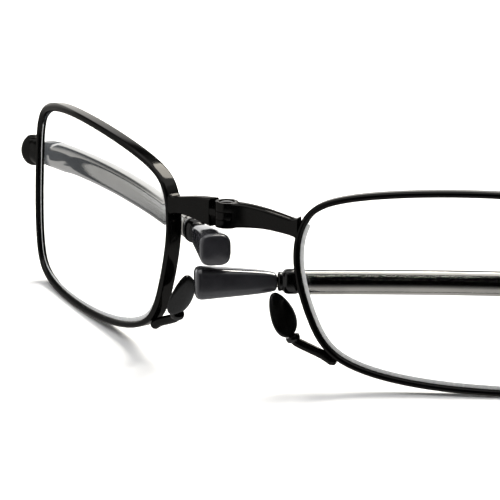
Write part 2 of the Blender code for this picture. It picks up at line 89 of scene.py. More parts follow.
BRIDGE_STATIONS = [
    (0.0, -0.25, 6.65, 10.0, 1.2),
    (2.6, -0.85, 6.85, 9.95, 0.95),
    (5.2, -1.85, 7.0, 9.65, 0.9),
    (7.4, -2.65, 6.8, 9.2, 0.85),
    (9.05, -3.25, 6.5, 8.85, 0.8),
]
BRIDGE_RIM_END = (9.75, -3.42, 6.1, 9.05, 1.0)
TONGUE_BAR_BOTTOMS = (6.2, 6.6, 6.75, 6.5, 6.1)
BRIDGE_BARREL_RADIUS = 1.5
BRIDGE_BOTTOM_Z = 6.65
BRIDGE_TOP_Z = 10.0
TONGUE_BOTTOM_Z = 7.75
TONGUE_TOP_Z = 8.75
TONGUE_SHOULDER = 2.6
SHOULDER_INSET = 0.05
NECK_HALF_THICKNESSES = (0.85, 0.8)
NECK_CORNER = 0.2
BAR_CORNER = 0.42
BAR_STEPS = 6
PIN_RADIUS = 0.7
PIN_HEAD_RADIUS = 0.95
PIN_HEAD_THICKNESS = 0.35
PIN_HEAD_SEAT = 0.1
PIN_HEAD_CROWN = 0.14
PIN_CHAMFER = 0.1
FORK_CHEEK_Y = -0.15
FORK_SLOT_GAP = 0.25
RUNNING_GAP = 0.08
OVERCUT = 1.0
EDGE_ROUND = 0.1

TEMPLE_HINGE_X = 60.5
TEMPLE_HINGE_Y = -3.3
TEMPLE_DROP = 0.8
BARREL_RADIUS = 1.75
BARREL_HALF_HEIGHT = 2.2
KNUCKLE_RADIUS = 1.2
KNUCKLE_HALF_HEIGHT = 0.8
WEB_HALF_WIDTH = 1.0
WEB_REACH = 2.6
END_BLOCK_X = 56.6
END_BLOCK_FRONT_Y = -4.5
END_BLOCK_BACK_Y = -2.4
END_BLOCK_SECTIONS = [(END_BLOCK_X - TEMPLE_HINGE_X, 2.6), (-2.6, 2.9), (-1.4, 3.0), (0.0, 2.8)]
END_BLOCK_POWER = 3.0
END_BLOCK_FACETS = 40
SLOT_RADIUS = 1.35
SLOT_REACH = 3.5
KNUCKLE_BORE_RADIUS = 0.62
WEB_START = 0.2
SCREW_HEAD_RADIUS = 0.95
SCREW_HEAD_THICKNESS = 0.38
SCREW_HEAD_CROWN = 0.2
SCREW_HEAD_DROP = 0.12
SCREW_HEAD_SEAT = 0.42
SCREW_RADIUS = 0.5
SCREW_CHAMFER = 0.05
SCREW_SLOT_HALF_WIDTH = 0.12
SCREW_SLOT_REACH = 1.2
SCREW_SLOT_DEPTH = 0.22
SCREW_SLOT_RISE = 0.3
LOCK_SCREW_X = 57.95
LOCK_SCREW_Y = -3.45
LOCK_HEAD_RADIUS = 0.55
LOCK_RADIUS = 0.3
LOCK_HEAD_TOP = 0.05
LOCK_HEAD_RIM = 0.38
LOCK_HEAD_END = 0.48
LOCK_SHANK_SHORT = 0.9
LOCK_SLOT_HALF_WIDTH = 0.08
LOCK_SLOT_REACH = 0.8
LOCK_SLOT_TOP = 0.34
LOCK_SLOT_END = 0.6

ARC_APEX_X = 39.4
ARC_APEX_Y = 1.32
ARC_RADIUS = 216.0
TUBE_START_X = 58.7
TUBE_END_X = 9.45
TUBE_HEIGHT = 3.25
TUBE_THICKNESS = 2.75
TUBE_CROWN = 2.5
CAP_THICKNESS = TUBE_THICKNESS - 0.3
CAP_HEIGHT = TUBE_HEIGHT - 0.1
CAP_LENGTH = 2.4
CAP_CORNER = 0.85
TUBE_BORE_HEIGHT = 1.7
TUBE_BORE_THICKNESS = 0.9
TUBE_LIP = 0.08
BORE_POWER = 4.0
TEMPLE_FACETS = 56
FERRULE_START_X = 9.55
FERRULE_STEP_X = 7.5
FERRULE_END_X = 6.9
FERRULE_POWER = 2.8
FERRULE_PROFILE = [
    (FERRULE_START_X, -0.4), (FERRULE_START_X - 0.1, -0.15), (FERRULE_START_X - 0.35, 0.02),
    (FERRULE_STEP_X + 0.7, 0.02), (FERRULE_STEP_X + 0.3, -0.2), (FERRULE_STEP_X + 0.12, -0.6),
    (FERRULE_STEP_X, -0.85), (FERRULE_STEP_X - 0.15, -0.85), (FERRULE_STEP_X - 0.3, -0.72),
    (FERRULE_END_X + 0.12, -0.75), (FERRULE_END_X, -1.0),
]
ROD_HEIGHT = 1.5
ROD_THICKNESS = 0.7
ROD_INNER_X = 55.5
ROD_OUTER_X = 3.2
ROD_FACETS = 40
TIP_NECK_X = 6.75
TIP_END_X = -3.8
TIP_SOCKET_X = 4.6
TIP_SOCKET_TAPER = 0.2
TIP_POWER = 3.3
TIP_PROFILE = [
    (0.0, 1.45, 1.75), (0.012, 1.8, 2.1), (0.04, 2.1, 2.45), (0.19, 2.6, 3.0),
    (0.5, 3.3, 3.6), (0.88, 4.1, 4.2), (0.94, 4.1, 4.2), (0.98, 3.8, 3.9), (1.0, 3.1, 3.2),
]

PAD_CENTRE = Vector((7.7, -3.0, -4.2))
PAD_LONG_AXIS = Vector((0.42, 0.0, -0.908)).normalized()
PAD_SPLAY = math.radians(25.0)
PAD_HALF_LENGTH = 3.1
PAD_HALF_WIDTH = 2.5
PAD_TAPER = 0.25
PAD_CROWN = 0.6
PAD_RINGS = 40
PAD_FACETS = 48
PAD_NOSE_DOME = 0.85
PAD_OUTER_DOME = 0.5
STEM_RADIUS = 0.45
STEM_END = 3.6
CUP_START = 3.1
CUP_END = 3.95
CUP_RADIUS = 0.95
CUP_BORE_RADIUS = 0.55
ARM_RADIUS = 0.64
ARM_FACETS = 24
ARM_END_AREA = 0.15
ARM_END_GROWTH = 14
ARM_PATH = [
    (9.15, -3.0, -7.25), (9.6, -3.0, -7.8), (10.6, -3.1, -8.28), (12.0, -3.4, -8.82),
    (13.3, -3.75, -9.35), (14.9, -4.1, -10.3),
]

VIEW_YAW = math.radians(4.63)
VIEW_ELEVATION = math.radians(14.59)
VIEW_ROLL = math.radians(0.81)
VIEW_LENS = 440.1
VIEW_SENSOR = 36.0
VIEW_DISTANCE = 800.0
VIEW_RIGHT = 3.150
VIEW_UP = 3.318
FLOOR_REACH = 3.0


# -------------------------------------------------------------------- frames
def half_matrix(side):
    """Right-half millimetres to metres in the scene, mirrored for the left half."""
    place = Matrix.Translation(BRIDGE_HINGE)
    if side == "left":
        place = place @ Matrix.Rotation(-FOLD_ANGLE, 4, "Z")
        place = place @ Matrix.Scale(-1, 4, (1, 0, 0))
    return place @ Matrix.Scale(MM, 4)


def temple_matrix(side):
    """Temple millimetres, centred on its hinge and tilted, to metres."""
    half = half_matrix(side)
    hinge = half.inverted() @ Vector(JOINTS[side + "_temple_fold"]["pos_m"])
    tilt = math.acos(min(1.0, abs(JOINTS[side + "_temple_extend"]["axis"][2])))
    tilt = tilt if side == "left" else -tilt
    return half @ Matrix.Translation(hinge) @ Matrix.Rotation(tilt, 4, "Y")


# -------------------------------------------------------------- mesh helpers
def loft(rings, closed=False):
    """Skin rings of equal length, capped at both ends unless closed."""
    count = len(rings[0])
    points = [point for ring in rings for point in ring]
    faces = []
    spans = len(rings) if closed else len(rings) - 1
    for i in range(spans):
        a = i * count
        b = (i + 1) % len(rings) * count
        for j in range(count):
            k = (j + 1) % count
            faces.append((a + j, a + k, b + k, b + j))
    if not closed:
        faces.append(tuple(range(count)))
        faces.append(tuple(range(len(points) - count, len(points))))
    return points, faces


def turned(profile, steps=48):
    """A solid turned about Z from a profile of (radius, height) pairs."""
    rings = []
    for radius, height in profile:
        rings.append([(radius * math.cos(2 * math.pi * i / steps),
                       radius * math.sin(2 * math.pi * i / steps), height)
                      for i in range(steps)])
    return loft(rings)


def disc(radius, low, high):
    """A cylinder about Z."""
    return turned([(radius, low), (radius, high)])


def dome(radius, top, height):
    """Profile points of a low crown of the given height, from its edge inward."""
    turns = [math.radians(a) for a in range(0, 86, 12)]
    return [(radius * math.cos(a), top - height + height * math.sin(a)) for a in turns]


def box(low, high):
    """A rectangular block between two corners."""
    rings = []
    for z in (low[2], high[2]):
        rings.append([(low[0], low[1], z), (high[0], low[1], z),
                      (high[0], high[1], z), (low[0], high[1], z)])
    return loft(rings)


def rounded_rectangle(width, height, radius, steps=7):
    """Points (across, up) of a rectangle whose corners are arcs."""
    points = []
    for across, up, start in ((1, 1, 0), (-1, 1, 90), (-1, -1, 180), (1, -1, 270)):
        for i in range(steps + 1):
            angle = math.radians(start + 90 * i / steps)
            points.append((across * (width / 2 - radius) + radius * math.cos(angle),
                           up * (height / 2 - radius) + radius * math.sin(angle)))
    return points


def crowned(width, height, power, count=TEMPLE_FACETS):
    """Points (across, up) of a superellipse, a rectangle with swelling sides."""
    points = []
    for i in range(count):
        angle = 2 * math.pi * i / count
        c, s = math.cos(angle), math.sin(angle)
        points.append((width / 2 * math.copysign(abs(c) ** (2 / power), c),
                       height / 2 * math.copysign(abs(s) ** (2 / power), s)))
    return points


def spline_loop(guide, steps):
    """A closed cubic B-spline through the neighbourhood of its guide points."""
    points = []
    for i in range(len(guide)):
        a, b, c, d = (Vector(guide[(i + k) % len(guide)]) for k in (-1, 0, 1, 2))
        for j in range(steps):
            t = j / steps
            points.append((a * (1 - t) ** 3 + b * (3 * t ** 3 - 6 * t * t + 4)
                           + c * (-3 * t ** 3 + 3 * t * t + 3 * t + 1) + d * t ** 3) / 6)
    return points


def smooth_run(knots, steps):
    """A Catmull-Rom run through knots of any length, ends included."""
    rows = [Vector(knot) for knot in knots]
    padded = [rows[0] * 2 - rows[1]] + rows + [rows[-1] * 2 - rows[-2]]
    out = []
    for i in range(1, len(padded) - 2):
        a, b, c, d = padded[i - 1:i + 3]
        for j in range(steps):
            t = j / steps
            out.append((2 * b + (c - a) * t + (2 * a - 5 * b + 4 * c - d) * t * t
                        + (3 * b - a - 3 * c + d) * t ** 3) / 2)
    out.append(rows[-1])
    return out


def raw_object(name, shape, matrix):
    """A mesh object made from a shape that the matrix puts in place."""
    points, faces = shape
    mesh = bpy.data.meshes.new(name)
    mesh.from_pydata([matrix @ Vector(point) for point in points], [], faces)
    work = bmesh.new()
    work.from_mesh(mesh)
    bmesh.ops.recalc_face_normals(work, faces=work.faces)
    work.to_mesh(mesh)
    work.free()
    made = bpy.data.objects.new(name, mesh)
    bpy.context.scene.collection.objects.link(made)
    return made


def bake(made):
    """Replace the object's mesh by what its modifiers make of it."""
    evaluated = made.evaluated_get(bpy.context.evaluated_depsgraph_get())
    mesh = bpy.data.meshes.new_from_object(evaluated)
    made.modifiers.clear()
    made.data = mesh


def combine(made, shape, matrix, operation):
    """Boolean the object with a shape, at once."""
    helper = raw_object("helper", shape, matrix)
    step = made.modifiers.new("step", "BOOLEAN")
    step.operation = operation
    step.object = helper
    step.solver = "EXACT"
    bake(made)
    bpy.data.objects.remove(helper)


def soften(made, width, segments=3):
    """Round the object's sharp edges."""
    work = bmesh.new()
    work.from_mesh(made.data)
    bmesh.ops.remove_doubles(work, verts=work.verts, dist=0.01 * MM)
    bmesh.ops.dissolve_limit(work, angle_limit=math.radians(1), verts=work.verts,
                             edges=work.edges)
    work.to_mesh(made.data)
    work.free()
    step = made.modifiers.new("round", "BEVEL")
    step.width = width * MM
    step.segments = segments
    step.limit_method = "ANGLE"
    step.angle_limit = math.radians(32)
    step.harden_normals = False
    bake(made)


def finish_piece(made, material, body, node, sharp=40):
    """Shade, paint and attach a finished piece."""
    made.data.materials.clear()
    made.data.materials.append(material)
    made.data.shade_smooth()
    made.data.set_sharp_from_angle(angle=math.radians(sharp))
    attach(made, body)
    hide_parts(node)


def add_run_uv(made, count):
    """UVs on a loft of rings of count points: U round a ring, V counts the rings."""
    layer = made.data.uv_layers.new(name="run")
    for polygon in made.data.polygons:
        for loop_index in polygon.loop_indices:
            vertex = made.data.loops[loop_index].vertex_index
            layer.data[loop_index].uv = (vertex % count / count, vertex // count)


# ----------------------------------------------------------------- materials
def new_material(name):
    """An empty node material with its output, and a helper to add nodes."""
    made = bpy.data.materials.new(name)
    made.use_nodes = True
    tree = made.node_tree
    tree.nodes.clear()
    output = tree.nodes.new("ShaderNodeOutputMaterial")

    def node(kind, settings=None, **inputs):
        added = tree.nodes.new(kind)
        for key, value in (settings or {}).items():
            setattr(added, key, value)
        for key, value in inputs.items():
            socket = added.inputs[key.replace("_", " ")]
            if isinstance(value, bpy.types.NodeSocket):
                tree.links.new(value, socket)
            else:
                socket.default_value = value
        return added

    def surface(shader):
        tree.links.new(shader, output.inputs["Surface"])

    return made, node, surface


def ramp(node, fac, stops):
    """A colour ramp through (position, colour) stops."""
    added = node("ShaderNodeValToRGB", Fac=fac)
    elements = added.color_ramp.elements
    for i, (position, colour) in enumerate(stops):
        element = elements[i] if i < 2 else elements.new(position)
        element.position = position
        element.color = (*colour, 1.0)
    return added.outputs["Color"]


def grey_ramp(node, fac, low, high):
    """A value that runs from low to high as fac runs from 0 to 1."""
    added = node("ShaderNodeMapRange", Value=fac, To_Min=low, To_Max=high)
    return added.outputs["Result"]


def edge_sheen(node, tree, base, gain, power):
    """Mirror strength: base seen square on, rising steeply toward the edges."""
    facing = node("ShaderNodeLayerWeight", Blend=0.5).outputs["Facing"]
    steep = node("ShaderNodeMath", {"operation": "POWER"})
    tree.links.new(facing, steep.inputs[0])
    steep.inputs[1].default_value = power
    return grey_ramp(node, steep.outputs["Value"], base, gain)


def blend(node, tree, fac, first, second):
    """A mix of two shaders: the first where fac is 0, the second where it is 1."""
    mixed = node("ShaderNodeMixShader", Fac=fac)
    tree.links.new(first, mixed.inputs[1])
    tree.links.new(second, mixed.inputs[2])
    return mixed.outputs["Shader"]


def gloss_black(name, dark, light, roughness, base, gain, power, tint=(1.0, 0.97, 0.92)):
    """Gloss black finish: cloudy depth, faint polish marks and a tinted edge sheen."""
    made, node, surface = new_material(name)
    tree = made.node_tree
    place = node("ShaderNodeTexCoord").outputs["Object"]
    cloud = node("ShaderNodeTexNoise", Vector=place, Scale=420.0, Detail=4.0)
    marks = node("ShaderNodeTexNoise", Vector=place, Scale=2600.0, Detail=2.0)
    bump = node("ShaderNodeBump", Strength=0.04, Distance=0.00001,
                Height=marks.outputs["Fac"])
    body = node("ShaderNodeBsdfDiffuse",
                Color=ramp(node, cloud.outputs["Fac"], [(0.35, dark), (0.7, light)]))
    shine = node("ShaderNodeBsdfGlossy", Color=(*tint, 1.0),
                 Roughness=grey_ramp(node, cloud.outputs["Fac"], roughness * 0.7,
                                     roughness * 1.3),
                 Normal=bump.outputs["Normal"])
    surface(blend(node, tree, edge_sheen(node, tree, base, gain, power),
                  body.outputs["BSDF"], shine.outputs["BSDF"]))
    return made


def drawn_steel(name, colour, roughness):
    """Polished steel with faint lines along the run it was drawn in."""
    made, node, surface = new_material(name)
    run = node("ShaderNodeTexCoord").outputs["UV"]
    stretched = node("ShaderNodeMapping", Vector=run, Scale=(90.0, 0.35, 1.0))
    lines = node("ShaderNodeTexNoise", Vector=stretched.outputs["Vector"], Scale=2.0,
                 Detail=5.0)
    place = node("ShaderNodeTexCoord").outputs["Object"]
    cloud = node("ShaderNodeTexNoise", Vector=place, Scale=260.0, Detail=3.0)
    bump = node("ShaderNodeBump", Strength=0.015, Distance=0.00002,
                Height=lines.outputs["Fac"])
    low = tuple(0.86 * c for c in colour)
    shader = node("ShaderNodeBsdfPrincipled",
                  Base_Color=ramp(node, cloud.outputs["Fac"], [(0.3, low), (0.7, colour)]),
                  Metallic=1.0,
                  Roughness=grey_ramp(node, lines.outputs["Fac"], roughness * 0.7,
                                      roughness * 1.35),
                  Anisotropic=0.35, Normal=bump.outputs["Normal"])
    surface(shader.outputs["BSDF"])
    return made


def moulded_plastic(name, dark, light, roughness):
    """Injection moulded plastic with a fine grain and slight flow clouds."""
    made, node, surface = new_material(name)
    place = node("ShaderNodeTexCoord").outputs["Object"]
    cloud = node("ShaderNodeTexNoise", Vector=place, Scale=300.0, Detail=3.0)
    skin = node("ShaderNodeTexNoise", Vector=place, Scale=3600.0, Detail=2.0)
    bump = node("ShaderNodeBump", Strength=0.03, Distance=0.00002,
                Height=skin.outputs["Fac"])
    shader = node("ShaderNodeBsdfPrincipled",
                  Base_Color=ramp(node, cloud.outputs["Fac"], [(0.3, dark), (0.75, light)]),
                  Roughness=grey_ramp(node, skin.outputs["Fac"], roughness * 0.8,
                                      roughness * 1.2),
                  Normal=bump.outputs["Normal"])
    surface(shader.outputs["BSDF"])
    return made


def lens_glass():
    """Clear coated lens with a weak cool reflection.

    It bends what is seen through it, and lets shadow and reflection rays
    through unbent, so that it casts no dark shadow.
    """
    made, node, surface = new_material("lens_glass")
    tree = made.node_tree
    place = node("ShaderNodeTexCoord").outputs["Object"]
    cloud = node("ShaderNodeTexNoise", Vector=place, Scale=60.0, Detail=2.0)
    tint = ramp(node, cloud.outputs["Fac"], [(0.3, (0.965, 0.968, 0.97)),
                                             (0.7, (0.972, 0.974, 0.976))])
    through = node("ShaderNodeBsdfRefraction", Color=tint, Roughness=0.0, IOR=1.5)
    straight = node("ShaderNodeBsdfTransparent", Color=tint)
    path = node("ShaderNodeLightPath")
    unbent = node("ShaderNodeMath", {"operation": "MAXIMUM"})
    tree.links.new(path.outputs["Is Shadow Ray"], unbent.inputs[0])
    tree.links.new(path.outputs["Is Reflection Ray"], unbent.inputs[1])
    clear = blend(node, tree, unbent.outputs["Value"], through.outputs["BSDF"],
                  straight.outputs["BSDF"])
    shine = node("ShaderNodeBsdfGlossy", Color=(0.9, 0.95, 1.0, 1.0), Roughness=0.02)
    surface(blend(node, tree, edge_sheen(node, tree, 0.01, 0.5, 5.0), clear,
                  shine.outputs["BSDF"]))
    return made


def frosted_edge_and_painted_light():
    """The lens's ground bevel: frosted by the grinding wheel, and its light grey-white colour is
    also painted light that stands in for the light seen in the glass edge.
    """
    made, node, surface = new_material("lens_frosted_edge_and_painted_light")
    place = node("ShaderNodeTexCoord").outputs["Object"]
    grit = node("ShaderNodeTexNoise", Vector=place, Scale=2600.0, Detail=4.0)
    bump = node("ShaderNodeBump", Strength=0.15, Distance=0.00003,
                Height=grit.outputs["Fac"])
    shader = node("ShaderNodeBsdfPrincipled",
                  Base_Color=ramp(node, grit.outputs["Fac"], [(0.3, (0.62, 0.63, 0.64)),
                                                             (0.7, (0.8, 0.81, 0.82))]),
                  Roughness=grey_ramp(node, grit.outputs["Fac"], 0.3, 0.5),
                  Normal=bump.outputs["Normal"])
    surface(shader.outputs["BSDF"])
    return made


GUNMETAL = gloss_black("gunmetal_plating", (0.0008, 0.0008, 0.0008), (0.002, 0.002, 0.002),
                       0.1, 0.013, 0.9, 9.0)
BLACK_TRIM = gloss_black("black_trim_plating", (0.001, 0.001, 0.001), (0.003, 0.003, 0.003),
                         0.08, 0.03, 0.8, 6.0, (1.0, 0.99, 0.97))
STEEL = drawn_steel("drawn_steel", (0.38, 0.365, 0.335), 0.09)
SCREW_STEEL = drawn_steel("screw_steel", (0.3, 0.29, 0.28), 0.2)
TIP_PLASTIC = moulded_plastic("tip_plastic", (0.018, 0.018, 0.021), (0.027, 0.027, 0.031), 0.11)
PAD_PLASTIC = gloss_black("pad_plastic", (0.002, 0.002, 0.002), (0.006, 0.006, 0.006),
                          0.06, 0.02, 0.5, 7.0, (0.98, 0.99, 1.0))
LENS_GLASS = lens_glass()
LENS_EDGE = frosted_edge_and_painted_light()


# ------------------------------------------------------------------- the rim
def on_lens(x, z, depth):
    """A point at the given depth behind the sphere that the rim front lies on."""
    across = x - LENS_MIDDLE_X
    front = FRONT_APEX_Y + (across ** 2 + z ** 2) / (2 * BASE_RADIUS)
    inward = Vector((-across, BASE_RADIUS, -z)).normalized()
    return Vector((x, front, z)) + depth * inward


def opening():
    """The lens opening as (x, z, outward x, outward z), anticlockwise."""
    outline = spline_loop(OPENING_GUIDE, STEPS_PER_GUIDE_POINT)
    rows = []
    for i, point in enumerate(outline):
        along = (outline[(i + 1) % len(outline)] - outline[i - 1]).normalized()
        rows.append((NASAL_EDGE_X + point.x, point.y, along.y, -along.x))
    return rows


def rim_section(width):
    """(outward, depth) points round the rim wire: a crowned bar with a groove."""
    knots = [(0.0, 0.1), (0.14 * width, -0.15), (0.41 * width, -0.27), (0.74 * width, -0.22),
             (0.94 * width, 0.0), (width, 0.25), (width, 1.5), (0.92 * width, 1.82),
             (0.7 * width, 1.97), (0.41 * width, RIM_DEPTH), (0.0, 1.86)]
    return smooth_run(knots, 3) + [(0.0, 1.4), (0.35, 1.0), (0.0, 0.6)]


def make_rim(side):
    """The grooved wire round the lens, wider at its upper outer corner."""
    matrix = half_matrix(side)
    rings = []
    for x, z, out_x, out_z in opening():
        away = Vector((x, z)) - FLARE_CENTRE
        away = Vector((away.x / FLARE_REACH.x, away.y / FLARE_REACH.y))
        section = rim_section(RIM_WIDTH + FLARE * math.exp(-away.length_squared))
        rings.append([on_lens(x + out * out_x, z + out * out_z, depth)
                      for out, depth in section])
    made = raw_object(side + "_rim_wire", loft(rings, closed=True), matrix)
    finish_piece(made, GUNMETAL, side + "_half", side + "_rim", sharp=50)


def make_lens(side):
    """A clear lens with a ground bevel, seated in the rim's groove."""
    matrix = half_matrix(side)
    rows = opening()

    def ring(scale, out, depth):
        return [on_lens(LENS_MIDDLE_X + (x - LENS_MIDDLE_X) * scale + out * out_x,
                        z * scale + out * out_z, depth) for x, z, out_x, out_z in rows]

    middle = (LENS_FRONT_DEPTH + LENS_BACK_DEPTH) / 2
    rings = [ring(scale, 0.0, LENS_FRONT_DEPTH) for scale in LENS_RING_SCALES]
    rings += [ring(1.0, out, depth) for out, depth in (
        (-BEVEL_WIDTH, LENS_FRONT_DEPTH),
        (-LENS_SEAT_GAP, LENS_FRONT_DEPTH + LENS_EDGE_CHAMFER),
        (-LENS_SEAT_GAP, middle - LENS_RIDGE_HALF_WIDTH),
        (LENS_RIDGE_HEIGHT, middle),
        (-LENS_SEAT_GAP, middle + LENS_RIDGE_HALF_WIDTH),
        (-LENS_SEAT_GAP, LENS_BACK_DEPTH))]
    rings += [ring(scale, 0.0, LENS_BACK_DEPTH + LENS_CENTRE_EXTRA * (1 - scale * scale))
              for scale in reversed(LENS_RING_SCALES)]
    made = raw_object(side + "_lens_glass", loft(rings), matrix)
    finish_piece(made, LENS_GLASS, side + "_half", side + "_lens", sharp=35)
    made.data.materials.append(LENS_EDGE)
    first = len(LENS_RING_SCALES) * len(rows)
    bevel = range(first, first + 2 * len(rows))
    # Painted light: the whitish bevel stands in for the light seen in the lens edge, on the
    # sides and bottom only.
    for polygon in made.data.polygons:
        if all(v in bevel and rows[v % len(rows)][3] < FROSTED_AND_PAINTED_LIGHT_BELOW
               for v in polygon.vertices):
            polygon.material_index = 1


# ---------------------------------------------------------------- the bridge
def bar_rings(knots, steps=BAR_STEPS, corner=BAR_CORNER):
    """Upright cross-sections of a bridge bar, square to its smooth run."""
    run = smooth_run(knots, steps)
    rings = []
    for i, row in enumerate(run):
        before, after = run[max(i - 1, 0)], run[min(i + 1, len(run) - 1)]
        along = Vector((after[0] - before[0], after[1] - before[1])).normalized()
        across = Vector((-along.y, along.x))
        x, y, bottom, top, half_thickness = row
        section = rounded_rectangle(2 * half_thickness, top - bottom, corner, steps=5)
        rings.append([(x + across.x * s, y + across.y * s, (top + bottom) / 2 + up)
                      for s, up in section])
    return rings


def make_bridge():
    """The fork on the right half, the tongue on the left and their pin."""
    right, left = half_matrix("right"), half_matrix("left")
    counterbore = BRIDGE_TOP_Z - PIN_HEAD_THICKNESS - PIN_HEAD_SEAT
    knots = BRIDGE_STATIONS + [BRIDGE_RIM_END]
    fork = raw_object("bridge_fork_bar", loft(bar_rings(knots)), right)
    combine(fork, disc(BRIDGE_BARREL_RADIUS, BRIDGE_BOTTOM_Z, BRIDGE_TOP_Z), right, "UNION")
    slot_bottom, slot_top = TONGUE_BOTTOM_Z - RUNNING_GAP, TONGUE_TOP_Z + RUNNING_GAP
    combine(fork, disc(BRIDGE_BARREL_RADIUS + FORK_SLOT_GAP, slot_bottom, slot_top), right,
            "DIFFERENCE")
    reach = TONGUE_SHOULDER - RUNNING_GAP
    combine(fork, box((-reach, FORK_CHEEK_Y, slot_bottom), (reach, reach, slot_top)), right,
            "DIFFERENCE")
    combine(fork, turned([(PIN_RADIUS + RUNNING_GAP, BRIDGE_BOTTOM_Z - OVERCUT),
                          (PIN_RADIUS + RUNNING_GAP, counterbore),
                          (PIN_HEAD_RADIUS + RUNNING_GAP, counterbore),
                          (PIN_HEAD_RADIUS + RUNNING_GAP, BRIDGE_TOP_Z + OVERCUT)]),
            right, "DIFFERENCE")
    soften(fork, EDGE_ROUND)
    finish_piece(fork, GUNMETAL, "right_half", "bridge_fork")

    shoulder = (TONGUE_SHOULDER - SHOULDER_INSET) * Vector(BRIDGE_STATIONS[1][:2]).normalized()
    places = [(shoulder.x, shoulder.y, *BRIDGE_STATIONS[1][2:])] + knots[2:]
    bar = [(x, y, bottom, top, half_thickness)
           for (x, y, _, top, half_thickness), bottom in zip(places, TONGUE_BAR_BOTTOMS)]
    tongue = raw_object("bridge_tongue_bar", loft(bar_rings(bar)), left)
    end = BRIDGE_STATIONS[2]
    neck_run = [(x, y, TONGUE_BOTTOM_Z, TONGUE_TOP_Z, half_thickness)
                for (x, y), half_thickness in zip(((0.0, 0.0), end[:2]), NECK_HALF_THICKNESSES)]
    neck = loft(bar_rings(neck_run, steps=1, corner=NECK_CORNER))
    combine(tongue, neck, left, "UNION")
    combine(tongue, disc(BRIDGE_BARREL_RADIUS, TONGUE_BOTTOM_Z, TONGUE_TOP_Z), left, "UNION")
    combine(tongue, disc(PIN_RADIUS + RUNNING_GAP, TONGUE_BOTTOM_Z - OVERCUT,
                         TONGUE_TOP_Z + OVERCUT), left, "DIFFERENCE")
    soften(tongue, EDGE_ROUND)
    finish_piece(tongue, GUNMETAL, "left_half", "bridge_tongue")

    head_bottom = BRIDGE_TOP_Z - PIN_HEAD_THICKNESS
    profile = [(PIN_RADIUS - PIN_CHAMFER, BRIDGE_BOTTOM_Z),
               (PIN_RADIUS, BRIDGE_BOTTOM_Z + PIN_CHAMFER),
               (PIN_RADIUS, head_bottom), (PIN_HEAD_RADIUS, head_bottom)]
    crown = dome(PIN_HEAD_RADIUS, BRIDGE_TOP_Z, PIN_HEAD_CROWN)
    pin = raw_object("bridge_hinge_pin", turned(profile + crown), right)
    finish_piece(pin, BLACK_TRIM, "right_half", "bridge_pin")


# ------------------------------------------------------------ outer corners
def make_end_block(side):
    """The ball-shaped hinge block at the outer corner, with its two screws."""
    half = half_matrix(side)
    hinge = half.inverted() @ Vector(JOINTS[side + "_temple_fold"]["pos_m"])
    matrix = half @ Matrix.Translation(hinge)
    height = BARREL_HALF_HEIGHT
    front = END_BLOCK_FRONT_Y - TEMPLE_HINGE_Y
    back = END_BLOCK_BACK_Y - TEMPLE_HINGE_Y
    turns = [math.radians(6 * i) for i in range(-14, 15)]
    ball = turned([(BARREL_RADIUS * math.cos(a), height * math.sin(a)) for a in turns])
    block = raw_object(side + "_end_block_body", ball, matrix)
    middle, depth = (front + back) / 2, back - front
    rings = []
    for x, tall in END_BLOCK_SECTIONS:
        section = crowned(depth, tall, END_BLOCK_POWER, END_BLOCK_FACETS)
        rings.append([(x, middle + s, up) for s, up in section])
    combine(block, loft(rings), matrix, "UNION")
    slot_half = KNUCKLE_HALF_HEIGHT + RUNNING_GAP
    combine(block, disc(SLOT_RADIUS, -slot_half, slot_half), matrix, "DIFFERENCE")
    side_gap = WEB_HALF_WIDTH + RUNNING_GAP
    combine(block, box((-side_gap, 0, -slot_half), (SLOT_REACH, SLOT_REACH, slot_half)),
            matrix, "DIFFERENCE")
    combine(block, box((0, -side_gap, -slot_half), (SLOT_REACH, SLOT_REACH, slot_half)),
            matrix, "DIFFERENCE")
    combine(block, disc(SCREW_HEAD_RADIUS + RUNNING_GAP, height - SCREW_HEAD_SEAT,
                        height + OVERCUT), matrix, "DIFFERENCE")
    soften(block, EDGE_ROUND)
    finish_piece(block, GUNMETAL, side + "_half", side + "_end_block")

    top = height - SCREW_HEAD_DROP
    head_bottom = top - SCREW_HEAD_THICKNESS
    profile = [(SCREW_RADIUS - SCREW_CHAMFER, -height + SCREW_CHAMFER),
               (SCREW_RADIUS, -height + 2 * SCREW_CHAMFER),
               (SCREW_RADIUS, head_bottom), (SCREW_HEAD_RADIUS, head_bottom)]
    profile += dome(SCREW_HEAD_RADIUS, top, SCREW_HEAD_CROWN)
    screw = raw_object(side + "_hinge_screw_head", turned(profile), matrix)
    slot = box((-SCREW_SLOT_HALF_WIDTH, -SCREW_SLOT_REACH, top - SCREW_SLOT_DEPTH),
               (SCREW_SLOT_HALF_WIDTH, SCREW_SLOT_REACH, top + SCREW_SLOT_RISE))
    combine(screw, slot, matrix, "DIFFERENCE")
    soften(screw, 0.03, segments=2)
    finish_piece(screw, GUNMETAL, side + "_half", side + "_hinge_screw")

    lock = half @ Matrix.Translation(Vector((LOCK_SCREW_X, LOCK_SCREW_Y, hinge.z)))
    profile = [(LOCK_HEAD_RADIUS * 0.75, -height - LOCK_HEAD_END),
               (LOCK_HEAD_RADIUS, -height - LOCK_HEAD_RIM),
               (LOCK_HEAD_RADIUS, -height - LOCK_HEAD_TOP),
               (LOCK_RADIUS, -height - LOCK_HEAD_TOP), (LOCK_RADIUS, height - LOCK_SHANK_SHORT)]
    screw = raw_object(side + "_lock_screw_head", turned(profile, steps=32), lock)
    slot = box((-LOCK_SLOT_HALF_WIDTH, -LOCK_SLOT_REACH, -height - LOCK_SLOT_END),
               (LOCK_SLOT_HALF_WIDTH, LOCK_SLOT_REACH, -height - LOCK_SLOT_TOP))
    combine(screw, slot, lock, "DIFFERENCE")
    finish_piece(screw, SCREW_STEEL, side + "_half", side + "_lock_screw")


